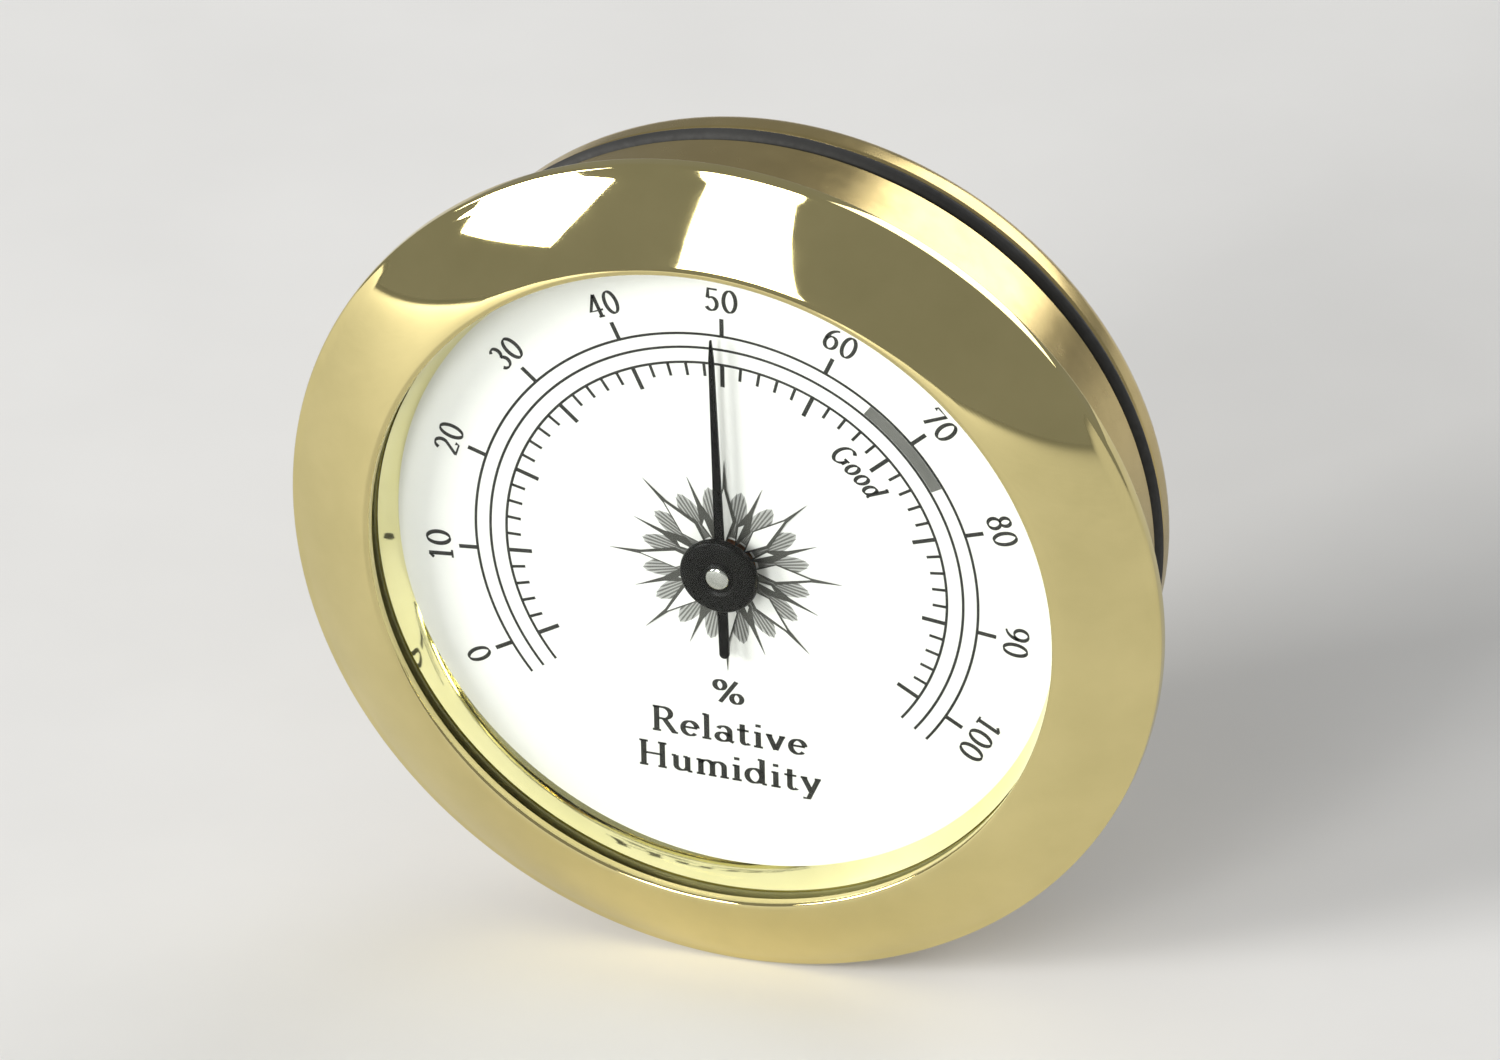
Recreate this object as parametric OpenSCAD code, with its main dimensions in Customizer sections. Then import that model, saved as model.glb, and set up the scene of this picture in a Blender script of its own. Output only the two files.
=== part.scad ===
// Panel-mounted dial hygrometer with a coiled humidity-sensing strip.
// +Z is up on the dial, the dial faces -Y, and the origin is the barrel's centre
// on the plane where the bezel meets the panel.
// Each module is drawn on its back: local z is the height in front of the panel.

/* [Bezel and glass] */
// Outside diameter of the bezel
bezel_d = 50; // [47:0.5:64]
// Clear opening through the bezel
window_d = 39.2; // [30:0.2:40]
// Height of the bezel's inner lip above the panel
bezel_h = 3.4; // [3:0.1:6]
// Height of the bezel's outer edge
edge_h = 0.8; // [0.6:0.1:1.2]
// Thickness of the stamped bezel
bezel_t = 0.45; // [0.3:0.05:0.6]
// How far the bezel's face bulges out from a straight cone
bezel_bulge = 0.22; // [0:0.02:0.4]
// Depth of the bezel's turned-in lip
lip_depth = 0.65; // [0.5:0.05:1]
// Thickness of the glass
lens_t = 0.7; // [0.5:0.1:1.2]
// How far the glass reaches behind the bezel's lip
lens_hold = 0.8; // [0.5:0.1:1]
// Thickness of the ring that cushions the glass
gasket_t = 0.2; // [0.1:0.05:0.4]
// Height of the bright ring between the dial and the glass
reflector_h = 1.5; // [1.2:0.1:2.5]
// How far the bright ring narrows towards the dial
reflector_taper = 0.65; // [0.3:0.05:1]
// How far the bright ring reaches beyond the edge of the glass
reflector_rim = 0.3; // [0.1:0.05:0.5]

/* [Case] */
// Outside diameter of the barrel that goes through the panel
barrel_d = 43.4; // [38:0.2:46]
// Length of the barrel behind the panel's face
barrel_len = 11.5; // [9.5:0.5:20]
// Wall of the case
case_t = 0.8; // [0.6:0.1:1.2]
// Outside radius of the case's rear corner
corner_r = 1.2; // [1:0.1:2]
// Thickness of the flange under the bezel
flange_t = 0.5; // [0.4:0.05:0.8]
// Number of air slots in the back
vent_count = 12; // [6:3:12]
// Width of an air slot
vent_w = 1.8; // [1:0.1:2]
// Radius where the air slots begin
vent_in = 7.6; // [6:0.1:8]
// Radius where the air slots end
vent_out = 14; // [12:0.1:14.4]
// Section diameter of the rubber grip ring
grip_d = 1; // [0.8:0.1:1.4]
// How far the grip ring sinks into its groove
grip_sink = 0.75; // [0.5:0.05:0.8]
// Distance from the panel's face to the middle of the grip ring
grip_at = 8.95; // [7:0.05:9]

/* [Dial and pointer] */
// Thickness of the dial
dial_t = 0.45; // [0.3:0.05:0.8]
// Hole in the middle of the dial
dial_hole_d = 3.4; // [3:0.1:4]
// Distance between the two feet of the dial
feet_span = 25; // [20:1:28]
// Diameter of a dial foot
foot_d = 1; // [0.8:0.1:1.4]
// Length of a dial foot
foot_len = 2.2; // [1.2:0.1:3]
// Pointer's reach from the centre to its tip
pointer_len = 14.6; // [10:0.1:14.8]
// Pointer's tail from the centre to its end
tail_len = 5.4; // [4:0.1:8]
// Width of the pointer at its hub
pointer_w = 0.56; // [0.4:0.02:1]
// Width of the pointer near its tip
tip_w = 0.3; // [0.2:0.02:0.5]
// Thickness of the pointer
pointer_t = 0.25; // [0.15:0.05:0.4]
// Diameter of the cap on the pointer's hub
cap_d = 4.5; // [3:0.1:6]
// Thickness of the cap
cap_t = 0.5; // [0.3:0.05:0.6]

/* [Movement] */
// Diameter of the arbor
arbor_d = 1.2; // [1:0.1:1.6]
// Diameter of the arbor's front end, where the pointer is pressed on
nose_d = 0.9; // [0.6:0.1:0.9]
// Diameter of the arbor's rear pivot
pivot_d = 0.64; // [0.5:0.02:0.8]
// Length of the arbor's rear pivot
pivot_len = 1.6; // [1:0.1:2]
// Thickness of the movement plate
plate_t = 0.8; // [0.6:0.1:1.2]
// Outside diameter of the coil
coil_d = 22; // [16:0.5:23]
// Turns in the coil
coil_turns = 6; // [3:1:8]
// Width of the sensing strip
strip_w = 3; // [2:0.1:3.4]
// Thickness of the sensing strip
strip_t = 0.2; // [0.15:0.05:0.3]
// Diameter of the collet that holds the coil's inner end
collet_d = 3; // [2.4:0.1:4]
// Thickness of the bracket's sheet
bracket_t = 0.8; // [0.6:0.1:1.2]
// Width of the bracket
bracket_w = 7; // [5.6:0.2:8]
// Length of each bracket foot
bracket_foot = 3.4; // [3.2:0.1:3.8]
// Space between the bracket and the back of the case
floor_gap = 1.7; // [1.4:0.1:2]
// Diameter of the calibrator's slotted head
head_d = 5; // [4:0.1:6]
// Diameter of the calibrator's shank
shank_d = 3.2; // [2.8:0.1:3.6]
// Width of the regulator arm
arm_w = 2.6; // [2.4:0.1:3.6]
// Thickness of the regulator arm
arm_t = 0.5; // [0.4:0.05:0.8]
// Diameter of the stud that holds the coil's outer end
stud_d = 1.6; // [1.4:0.1:2]
// Diameter of a standoff
standoff_d = 3.2; // [3:0.1:4]
// Distance from the centre to each standoff
standoff_at = 17.3; // [15:0.1:17.5]
// Thread diameter of all the screws
screw_d = 1.6; // [1.2:0.1:1.7]
// Head diameter of all the screws
screw_head_d = 3; // [2.6:0.1:3.2]
// Head height of all the screws
screw_head_t = 0.8; // [0.6:0.1:1]

/* [Hidden] */
$fn = 96;

// Clearances
run_fit = 0.03;      // radial, shaft in its bearing
turn_fit = 0.06;     // radial, calibrator in its bracket
slip = 0.2;          // radial, parts that drop into the case
end_float = 0.1;     // along the axis, between turning faces
shake = 0.3;         // along the axis, arbor shoulder to its rear bearing
cut = 1;             // how far a cutting tool runs past a face

// Radii
bezel_r = bezel_d / 2;
window_r = window_d / 2;
barrel_r = barrel_d / 2;
bore_r = barrel_r - case_t;
flange_r = bezel_r - bezel_t;
stack_r = bore_r - slip;
lens_r = window_r + lens_hold;
seat_r = lens_r + 0.1;
reflector_r = min(stack_r, lens_r + reflector_rim);
groove_r = barrel_r - grip_sink;
groove_w = grip_d + 0.2;
shaft_hole_r = arbor_d / 2 + run_fit;

// Heights in front of the panel's face
lens_front = bezel_h - lip_depth;
lens_back = lens_front - lens_t;
gasket_back = lens_back - gasket_t;
dial_face = gasket_back - reflector_h;
dial_back = dial_face - dial_t;
plate_back = dial_back - plate_t;
case_back = -barrel_len;
case_floor = case_back + case_t;
web_back = case_floor + floor_gap;
web_front = web_back + bracket_t;
arm_back = web_front + end_float;
arm_front = arm_back + arm_t;
coil_back = arm_front + 1;
coil_front = coil_back + strip_w;
cap_top = lens_back - 0.25;
cap_back = cap_top - cap_t;
pointer_back = cap_back - pointer_t;
boss_back = dial_face + 0.3;
shoulder_z = dial_face + 0.2;

// Height of the bezel's face, rising from its outer edge to the turned lip.
face_out = bezel_r - 0.15;
face_in = window_r + 0.35;
face_low = edge_h;
face_high = bezel_h;
function face_z(u) = face_low + (face_high - face_low) * u + 4 * bezel_bulge * u * (1 - u);
function face_r(u) = face_out + (face_in - face_out) * u;
function share_at(r) = (face_out - r) / (face_out - face_in);
face_steps = 8;

// Height of the bezel's underside at a radius
sheet_h = bezel_t * 1.25;       // the sloping sheet, measured upright
function under_z(r) = face_z(share_at(r)) - sheet_h;
collar_top = min(under_z(bore_r), under_z(barrel_r)) - slip;

// The humidity coil is an even spiral from the collet to the stud.
strip_gap = 0.03;
coil_in = collet_d / 2 + strip_t / 2 + strip_gap;
coil_out = coil_d / 2 - strip_t / 2;
coil_end = 45;                  // angle of the stud, in degrees
coil_steps = coil_turns * 36;
function coil_r(u) = coil_in + (coil_out - coil_in) * u;
function coil_angle(u) = coil_end - 360 * coil_turns * (1 - u);
function coil_point(u, side) =
    (coil_r(u) + side * strip_t / 2) * [cos(coil_angle(u)), sin(coil_angle(u))];

standoff_angles = [90, 210, 330];
leg_x = coil_d / 2 + 3.4;       // inner face of each bracket leg
foot_x = leg_x + bracket_t + bracket_foot / 2;

// Turns a piece drawn on its back to face -Y.
module upright() {
    rotate([90, 0, 0]) children();
}

// A plain ring between two heights
module ring(outer, inner, low, high) {
    difference() {
        translate([0, 0, low]) cylinder(r = outer, h = high - low);
        translate([0, 0, low - cut]) cylinder(r = inner, h = high - low + 2 * cut);
    }
}

// A disc between two heights
module disc(radius, low, high) {
    translate([0, 0, low]) cylinder(r = radius, h = high - low);
}

// Places a child at each standoff.
module at_standoffs() {
    for (a = standoff_angles) rotate([0, 0, a]) translate([standoff_at, 0, 0]) children();
}

// Places a child at each bracket foot.
module at_feet() {
    for (side = [-1, 1]) translate([side * foot_x, 0, 0]) children();
}

// A slotted screw with its head below height z and its shank rising to top
module screw(z, top) {
    slot_w = 0.5;
    slot_depth = 0.35;
    difference() {
        disc(screw_head_d / 2, z - screw_head_t, z);
        translate([-screw_head_d, -slot_w / 2, z - screw_head_t - cut])
            cube([2 * screw_head_d, slot_w, slot_depth + cut]);
    }
    disc(screw_d / 2, z, top);
}

// Stamped ring: outer skirt, bulged face and a lip turned down on to the glass
module bezel() {
    lip_round = 0.35;
    skirt_round = 0.15;
    face = [for (i = [0:face_steps]) [face_r(i / face_steps), face_z(i / face_steps)]];
    lip = [for (a = [75:-25:0]) [window_r + lip_round - lip_round * cos(a),
                                 bezel_h - lip_round + lip_round * sin(a)]];
    u_in = share_at(seat_r);
    u_out = share_at(flange_r - bezel_t);
    under = [for (i = [0:face_steps])
        let (u = u_in + (u_out - u_in) * i / face_steps)
        [face_r(u), max(face_z(u) - sheet_h, flange_t)]];
    color("goldenrod") upright() rotate_extrude()
        polygon(concat([[bezel_r, 0], [bezel_r, edge_h - skirt_round]], face, lip,
                       [[window_r, lens_front], [seat_r, lens_front]], under,
                       [[flange_r, flange_t], [flange_r, 0]]));
}

// Flat glass behind the bezel's lip
module lens() {
    color("lightcyan", 0.3) upright() disc(lens_r, lens_back, lens_front);
}

// Thin ring that cushions the glass
module lens_gasket() {
    color("black") upright() ring(lens_r, window_r + 0.1, gasket_back, lens_back);
}

// Bright tapered ring that stands on the dial and holds up the glass
module reflector_ring() {
    narrow_r = window_r - reflector_taper;
    color("gold") upright() rotate_extrude()
        polygon([[narrow_r, dial_face], [reflector_r, dial_face], [reflector_r, gasket_back],
                 [window_r, gasket_back]]);
}

// Printed metal dial
module dial_plate() {
    color("ivory") upright() ring(stack_r, dial_hole_d / 2, dial_back, dial_face);
}

// Two riveted posts that locate the dial in the movement plate
module dial_feet() {
    color("silver") upright()
        for (side = [-1, 1]) translate([0, side * feet_span / 2, 0])
            disc(foot_d / 2, dial_back - foot_len, dial_back);
}

// Stamped cup: flange, collar, grooved barrel and a slotted back
module case() {
    groove_low = -grip_at - groove_w / 2;
    groove_high = -grip_at + groove_w / 2;
    step = grip_sink;
    inner_corner = corner_r - case_t / 2;
    outer_corner = [for (a = [0:-15:-90])
        [barrel_r - corner_r + corner_r * cos(a), case_back + corner_r + corner_r * sin(a)]];
    floor_corner = [for (a = [-90:15:0])
        [bore_r - inner_corner + inner_corner * cos(a),
         case_floor + inner_corner + inner_corner * sin(a)]];
    color("darkgoldenrod") upright() difference() {
        rotate_extrude() polygon(concat(
            [[bore_r, collar_top], [barrel_r, collar_top], [barrel_r, flange_t],
             [flange_r, flange_t], [flange_r, 0], [barrel_r, 0],
             [barrel_r, groove_high], [groove_r, groove_high],
             [groove_r, groove_low], [barrel_r, groove_low]],
            outer_corner, [[0, case_back], [0, case_floor]], floor_corner,
            [[bore_r, groove_low - case_t / 2], [bore_r - step, groove_low],
             [bore_r - step, groove_high], [bore_r, groove_high + case_t / 2]]));
        translate([0, 0, case_back - cut])
            cylinder(r = head_d / 2 + slip, h = case_t + 2 * cut);
        at_standoffs() translate([0, 0, case_back - cut])
            cylinder(r = screw_d / 2 + slip / 2, h = case_t + 2 * cut);
        for (i = [0:vent_count - 1]) rotate([0, 0, 360 / vent_count * (i + 0.5)]) vent_cut();
    }
}

// One round-ended radial slot through the back
module vent_cut() {
    half = vent_w / 2;
    low = case_back - cut;
    tall = case_t + 2 * cut;
    translate([vent_in + half, -half, low]) cube([vent_out - vent_in - vent_w, vent_w, tall]);
    translate([vent_in + half, 0, low]) cylinder(r = half, h = tall);
    translate([vent_out - half, 0, low]) cylinder(r = half, h = tall);
}

// Rubber ring that grips the panel's hole
module grip_ring() {
    color("dimgray") upright() translate([0, 0, -grip_at]) rotate_extrude()
        translate([groove_r + grip_d / 2, 0]) circle(d = grip_d, $fn = 32);
}

// Screws that hold the standoffs to the back of the case
module case_screws() {
    color("gold") upright() at_standoffs() screw(case_back, case_floor + 2);
}

// Turned posts riveted into the movement plate
module standoffs() {
    rivet_d = screw_d;
    color("gold") upright() at_standoffs() {
        difference() {
            disc(standoff_d / 2, case_floor, plate_back);
            disc(screw_d / 2, case_floor - cut, case_floor + 2.4);
        }
        disc(rivet_d / 2, plate_back, dial_back);
    }
}

// Disc behind the dial that carries the bearing and the bracket
module movement_plate() {
    low = plate_back - cut;
    high = dial_back + cut;
    bush_r = shaft_hole_r + 0.9;
    color("gold") upright() difference() {
        disc(stack_r, plate_back, dial_back);
        disc(bush_r, low, high);
        at_standoffs() disc(screw_d / 2, low, high);
        at_feet() disc(screw_d / 2, low, high);
        for (side = [-1, 1]) translate([0, side * feet_span / 2, 0])
            disc(foot_d / 2, low, high);
    }
}

// Front bearing of the arbor, with a shoulder behind the plate
module front_bush() {
    shoulder = 0.4;
    color("orange") upright() difference() {
        union() {
            disc(shaft_hole_r + 0.9, plate_back, dial_back);
            disc(shaft_hole_r + 1.4, plate_back - shoulder, plate_back);
        }
        disc(shaft_hole_r, plate_back - shoulder - cut, dial_back + cut);
    }
}

// U-shaped bracket behind the plate that carries the calibrator
module bracket() {
    half = leg_x + bracket_t;
    leg_h = plate_back - web_back;
    foot_high = plate_back - bracket_t;
    color("silver") upright() difference() {
        union() {
            translate([-half, -bracket_w / 2, web_back]) cube([2 * half, bracket_w, bracket_t]);
            for (side = [0, 180]) rotate([0, 0, side]) {
                translate([leg_x, -bracket_w / 2, web_back])
                    cube([bracket_t, bracket_w, leg_h]);
                translate([leg_x, -bracket_w / 2, foot_high])
                    cube([bracket_t + bracket_foot, bracket_w, bracket_t]);
            }
        }
        disc(shank_d / 2 + turn_fit, web_back - cut, web_front + cut);
        at_feet() disc(screw_d / 2, foot_high - cut, plate_back + cut);
    }
}

// Screws that hold the bracket to the movement plate
module bracket_screws() {
    color("silver") upright() at_feet() screw(plate_back - bracket_t, dial_back);
}

// Spring washer that keeps the calibrator from drifting
module friction_washer() {
    color("khaki") upright()
        ring(head_d / 2 - 0.1, shank_d / 2 + turn_fit, web_back - 0.25, web_back);
}

// Slotted head and shank, turned from behind to set the reading
module calibrator_hub() {
    head_front = web_back - 0.27;
    head_back = case_back + 0.2;
    slot_w = 0.8;
    slot_depth = 0.9;
    color("gold") upright() difference() {
        union() {
            disc(head_d / 2, head_back, head_front);
            disc(shank_d / 2, head_front, arm_front);
        }
        translate([-head_d, -slot_w / 2, head_back - cut])
            cube([2 * head_d, slot_w, slot_depth + cut]);
        disc(bush_r_rear(), arm_front - bush_len(), arm_front + cut);
    }
}

// Outside radius and length of the rear bearing
function bush_r_rear() = pivot_d / 2 + run_fit + 0.5;
function bush_len() = pivot_len + 0.1;

// Rear bearing of the arbor, pressed into the calibrator
module rear_bush() {
    color("orange") upright()
        ring(bush_r_rear(), pivot_d / 2 + run_fit, arm_front - bush_len(), arm_front);
}

// Arm that carries the coil's outer end round with the calibrator
module regulator_arm() {
    boss_r = shank_d / 2 + 1;
    color("silver") upright() difference() {
        union() {
            disc(boss_r, arm_back, arm_front);
            rotate([0, 0, coil_end]) translate([0, -arm_w / 2, arm_back])
                cube([coil_out, arm_w, arm_t]);
            rotate([0, 0, coil_end]) translate([coil_out, 0, 0])
                disc(arm_w / 2, arm_back, arm_front);
        }
        disc(shank_d / 2, arm_back - cut, arm_front + cut);
        rotate([0, 0, coil_end]) translate([coil_out, 0, 0])
            disc(stud_d / 4, arm_back - cut, arm_front + cut);
    }
}

// Split stud that grips the coil's outer end
module regulator_stud() {
    split = strip_t + 0.2;
    color("gold") upright() rotate([0, 0, coil_end]) translate([coil_out, 0, 0]) {
        disc(stud_d / 4, arm_back, arm_front);
        difference() {
            disc(stud_d / 2, arm_front, coil_front + 0.2);
            translate([-split / 2, -stud_d, coil_back - 0.1])
                cube([split, 2 * stud_d, strip_w + cut]);
        }
    }
}

// Humidity-sensing strip wound in a flat spiral
module hygro_coil() {
    outer = [for (i = [0:coil_steps]) coil_point(i / coil_steps, 1)];
    inner = [for (i = [coil_steps:-1:0]) coil_point(i / coil_steps, -1)];
    color("peru") upright() translate([0, 0, coil_back])
        linear_extrude(strip_w) polygon(concat(outer, inner));
}

// Steel shaft from the rear pivot to the pointer
module arbor() {
    body_back = arm_front + shake;
    color("slategray") upright() {
        disc(pivot_d / 2, body_back - pivot_len, body_back);
        disc(arbor_d / 2, body_back, shoulder_z);
        disc(nose_d / 2, shoulder_z, cap_top + 0.1);
    }
}

// Brass sleeve pressed on the arbor, which holds the coil's inner end
module coil_collet() {
    spare = 0.3;
    color("gold") upright()
        ring(collet_d / 2, arbor_d / 2, coil_back - spare, coil_front + spare);
}

// Brass sleeve under the pointer
module pointer_boss() {
    color("gold") upright() ring(nose_d / 2 + 0.6, nose_d / 2, boss_back, pointer_back);
}

// Stamped pointer with a round hub, a long tapered blade and a short tail
module pointer() {
    hub_r = 1.6;
    tip_run = 1.2;
    color("black") upright() translate([0, 0, pointer_back]) difference() {
        union() {
            cylinder(r = hub_r, h = pointer_t);
            linear_extrude(pointer_t) polygon([
                [-pointer_w / 2, 0], [pointer_w / 2, 0], [tip_w / 2, pointer_len - tip_run],
                [0.04, pointer_len], [-0.04, pointer_len], [-tip_w / 2, pointer_len - tip_run]]);
            translate([-pointer_w / 2, -tail_len + pointer_w / 2, 0])
                cube([pointer_w, tail_len - pointer_w / 2, pointer_t]);
            translate([0, -tail_len + pointer_w / 2, 0])
                cylinder(r = pointer_w / 2, h = pointer_t);
        }
        translate([0, 0, -cut]) cylinder(r = nose_d / 2, h = pointer_t + 2 * cut);
    }
}

// Low domed cap over the pointer's hub
module pointer_cap() {
    edge_t = 0.2;
    color("black") upright() rotate_extrude()
        polygon([[nose_d / 2, cap_back], [cap_d / 2, cap_back], [cap_d / 2, cap_back + edge_t],
                 [cap_d / 2 - 0.45, cap_top - 0.08], [cap_d / 4, cap_top], [nose_d / 2, cap_top]]);
}

bezel();
lens();
lens_gasket();
reflector_ring();
dial_plate();
dial_feet();
case();
grip_ring();
case_screws();
standoffs();
movement_plate();
front_bush();
bracket();
bracket_screws();
friction_washer();
calibrator_hub();
rear_bush();
regulator_arm();
regulator_stud();
hygro_coil();
arbor();
coil_collet();
pointer_boss();
pointer();
pointer_cap();
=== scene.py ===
"""Visual model of the dial hygrometer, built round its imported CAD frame.

Shapes are worked out in millimetres in dial coordinates: x to the right, y up the dial and
z the height in front of the panel. TO_FRAME turns them into the row frame, in metres.
"""

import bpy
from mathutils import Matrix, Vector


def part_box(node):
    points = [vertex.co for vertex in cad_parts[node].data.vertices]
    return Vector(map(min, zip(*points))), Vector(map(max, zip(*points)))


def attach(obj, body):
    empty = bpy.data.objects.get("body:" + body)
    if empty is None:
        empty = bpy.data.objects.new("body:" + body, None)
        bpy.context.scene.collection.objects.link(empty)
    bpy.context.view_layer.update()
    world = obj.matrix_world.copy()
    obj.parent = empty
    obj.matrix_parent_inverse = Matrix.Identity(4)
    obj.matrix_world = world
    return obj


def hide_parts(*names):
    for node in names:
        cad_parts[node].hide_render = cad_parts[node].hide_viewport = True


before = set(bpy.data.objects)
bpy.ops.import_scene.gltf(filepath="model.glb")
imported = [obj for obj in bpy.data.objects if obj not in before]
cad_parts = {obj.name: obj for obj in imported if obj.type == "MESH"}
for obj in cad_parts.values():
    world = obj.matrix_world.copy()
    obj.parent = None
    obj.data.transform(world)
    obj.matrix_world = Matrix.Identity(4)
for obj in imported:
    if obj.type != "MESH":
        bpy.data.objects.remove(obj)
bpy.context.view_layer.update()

import math

import bmesh
import bpy
from mathutils import Matrix, Vector

MM = 0.001
TO_FRAME = Matrix.Scale(MM, 4) @ Matrix.Rotation(math.radians(90), 4, "X")


# ---------------------------------------------------------------- sizes from the frame

def low_high(node):
    """Back and front of a CAD node as heights in front of the panel, in mm."""
    low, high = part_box(node)
    return -high.y / MM, -low.y / MM


def radius_of(node):
    """Outside radius of a round CAD node, in mm."""
    low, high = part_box(node)
    return (high.x - low.x) / 2 / MM


bezel_r = radius_of("bezel")
bezel_h = low_high("bezel")[1]
lens_r = radius_of("lens")
lens_back, lens_front = low_high("lens")
gasket_back = low_high("lens_gasket")[0]
reflector_r = radius_of("reflector_ring")
dial_r = radius_of("dial_plate")
dial_back, dial_face = low_high("dial_plate")
case_back, collar_top = low_high("case")
flange_r = radius_of("case")
grip_r = radius_of("grip_ring")
grip_low, grip_high = low_high("grip_ring")
cap_r = radius_of("pointer_cap")
cap_back, cap_top = low_high("pointer_cap")
needle_back, needle_top = low_high("pointer")
needle_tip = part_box("pointer")[1].z / MM
needle_tail = -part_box("pointer")[0].z / MM
coil_back, coil_front = low_high("hygro_coil")
head_r = radius_of("calibrator_hub")
head_back = low_high("calibrator_hub")[0]
screw_back = low_high("case_screws")[0]
collet_r = radius_of("coil_collet")

# Sizes that no node's box shows, the same as in the CAD model
edge_h = 0.8
bezel_t = 0.45
bezel_bulge = 0.22
window_r = 19.6
flange_t = 0.5
barrel_r = 21.7
case_t = 0.8
corner_r = 1.2
screw_at = 17.3
screw_head_r = 1.5
washer_back = -9.25
vent_count = 12
vent_w = 1.8
vent_in = 7.6
vent_out = 14.0
coil_turns = 6
coil_angle = 45
strip_t = 0.2


# ---------------------------------------------------------------- mesh helpers

def finish_mesh(bm, name, sharp_angle=35, even=False):
    """Turns a bmesh in dial millimetres into a mesh object in the row frame.

    With even, large flat faces set the shading where they meet small bevels.
    """
    bmesh.ops.remove_doubles(bm, verts=bm.verts, dist=1e-4)
    bmesh.ops.recalc_face_normals(bm, faces=bm.faces)
    bm.transform(TO_FRAME)
    mesh = bpy.data.meshes.new(name)
    bm.to_mesh(mesh)
    bm.free()
    mesh.shade_smooth()
    mesh.set_sharp_from_angle(angle=math.radians(sharp_angle))
    obj = bpy.data.objects.new(name, mesh)
    bpy.context.collection.objects.link(obj)
    if even:
        weighted = obj.modifiers.new("even_shading", "WEIGHTED_NORMAL")
        weighted.keep_sharp = True
        weighted.weight = 100
    return obj


def arc(cx, cy, r, start, end, steps):
    """Points on an arc, with its angles in degrees."""
    angles = [math.radians(start + (end - start) * i / steps) for i in range(steps + 1)]
    return [(cx + r * math.cos(a), cy + r * math.sin(a)) for a in angles]


def rounded(corners, steps=5):
    """A closed outline from (x, y, fillet radius) corners, with an arc at each fillet."""
    out = []
    for i, (x, y, r) in enumerate(corners):
        here = Vector((x, y))
        back = Vector(corners[i - 1][:2]) - here
        on = Vector(corners[(i + 1) % len(corners)][:2]) - here
        turn = back.angle(on) if r else 0
        if not r or math.pi - turn < 0.02:
            out.append((x, y))
            continue
        reach = min(r / math.tan(turn / 2), back.length * 0.49, on.length * 0.49)
        size = reach * math.tan(turn / 2)
        middle = here + (back.normalized() + on.normalized()).normalized() * size / math.sin(turn / 2)
        first = here + back.normalized() * reach - middle
        last = here + on.normalized() * reach - middle
        sweep = first.angle_signed(last)
        for k in range(steps + 1):
            a = -sweep * k / steps
            out.append((middle.x + first.x * math.cos(a) - first.y * math.sin(a),
                        middle.y + first.x * math.sin(a) + first.y * math.cos(a)))
    return out


def add_lathe(bm, outline, segments=192, centre=(0, 0)):
    """A closed (radius, height) outline turned about the dial's axis, or about centre."""
    rings = []
    for r, z in outline:
        if r < 1e-6:
            rings.append([bm.verts.new((centre[0], centre[1], z))] * segments)
            continue
        angles = [2 * math.pi * k / segments for k in range(segments)]
        rings.append([bm.verts.new((centre[0] + r * math.cos(a), centre[1] + r * math.sin(a), z))
                      for a in angles])
    for i, ring in enumerate(rings):
        other = rings[(i + 1) % len(rings)]
        for k in range(segments):
            n = (k + 1) % segments
            corners = dict.fromkeys((ring[k], ring[n], other[n], other[k]))
            if len(corners) > 2:
                bm.faces.new(list(corners))


def lathe(name, outline, segments=192, sharp_angle=35):
    bm = bmesh.new()
    add_lathe(bm, outline, segments)
    return finish_mesh(bm, name, sharp_angle, even=True)


def add_prism(bm, outline, low, high):
    """A flat outline raised into a closed solid."""
    bottom = [bm.verts.new((x, y, low)) for x, y in outline]
    top = [bm.verts.new((x, y, high)) for x, y in outline]
    bm.faces.new(bottom[::-1])
    bm.faces.new(top)
    for i in range(len(outline)):
        n = (i + 1) % len(outline)
        bm.faces.new((bottom[i], bottom[n], top[n], top[i]))


def add_band(bm, left, right, low, high, closed=False):
    """A solid ribbon between two edges that have as many points as each other."""
    rows = [[bm.verts.new((*left[i], low)), bm.verts.new((*right[i], low)),
             bm.verts.new((*right[i], high)), bm.verts.new((*left[i], high))]
            for i in range(len(left))]
    pairs = list(zip(rows, rows[1:])) + ([(rows[-1], rows[0])] if closed else [])
    for a, b in pairs:
        for k in range(4):
            n = (k + 1) % 4
            bm.faces.new((a[k], a[n], b[n], b[k]))
    if not closed:
        bm.faces.new(rows[0])
        bm.faces.new(rows[-1][::-1])


def add_plate(bm, loops, low, high, bevel):
    """A flat plate with holes, its edges rounded: the first loop is the outside."""
    curve = bpy.data.curves.new("plate", "CURVE")
    curve.dimensions = "2D"
    curve.fill_mode = "BOTH"
    curve.extrude = (high - low) / 2 - bevel
    curve.bevel_depth = bevel
    curve.bevel_resolution = 3
    curve.offset = -bevel
    for loop in loops:
        spline = curve.splines.new("POLY")
        spline.points.add(len(loop) - 1)
        for point, (x, y) in zip(spline.points, loop):
            point.co = (x, y, 0, 1)
        spline.use_cyclic_u = True
    holder = bpy.data.objects.new("plate", curve)
    bpy.context.collection.objects.link(holder)
    bpy.context.view_layer.update()
    mesh = bpy.data.meshes.new_from_object(holder.evaluated_get(bpy.context.evaluated_depsgraph_get()))
    mesh.transform(Matrix.Translation((0, 0, (low + high) / 2)))
    bm.from_mesh(mesh)
    bpy.data.objects.remove(holder)
    bpy.data.meshes.remove(mesh)


def circle(cx, cy, r, steps):
    return arc(cx, cy, r, 0, 360, steps)[:-1]


def turned(points, degrees):
    """Points turned clockwise about the dial's centre."""
    c, s = math.cos(math.radians(degrees)), math.sin(math.radians(degrees))
    return [(x * c + y * s, y * c - x * s) for x, y in points]


# ---------------------------------------------------------------- material helpers

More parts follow.
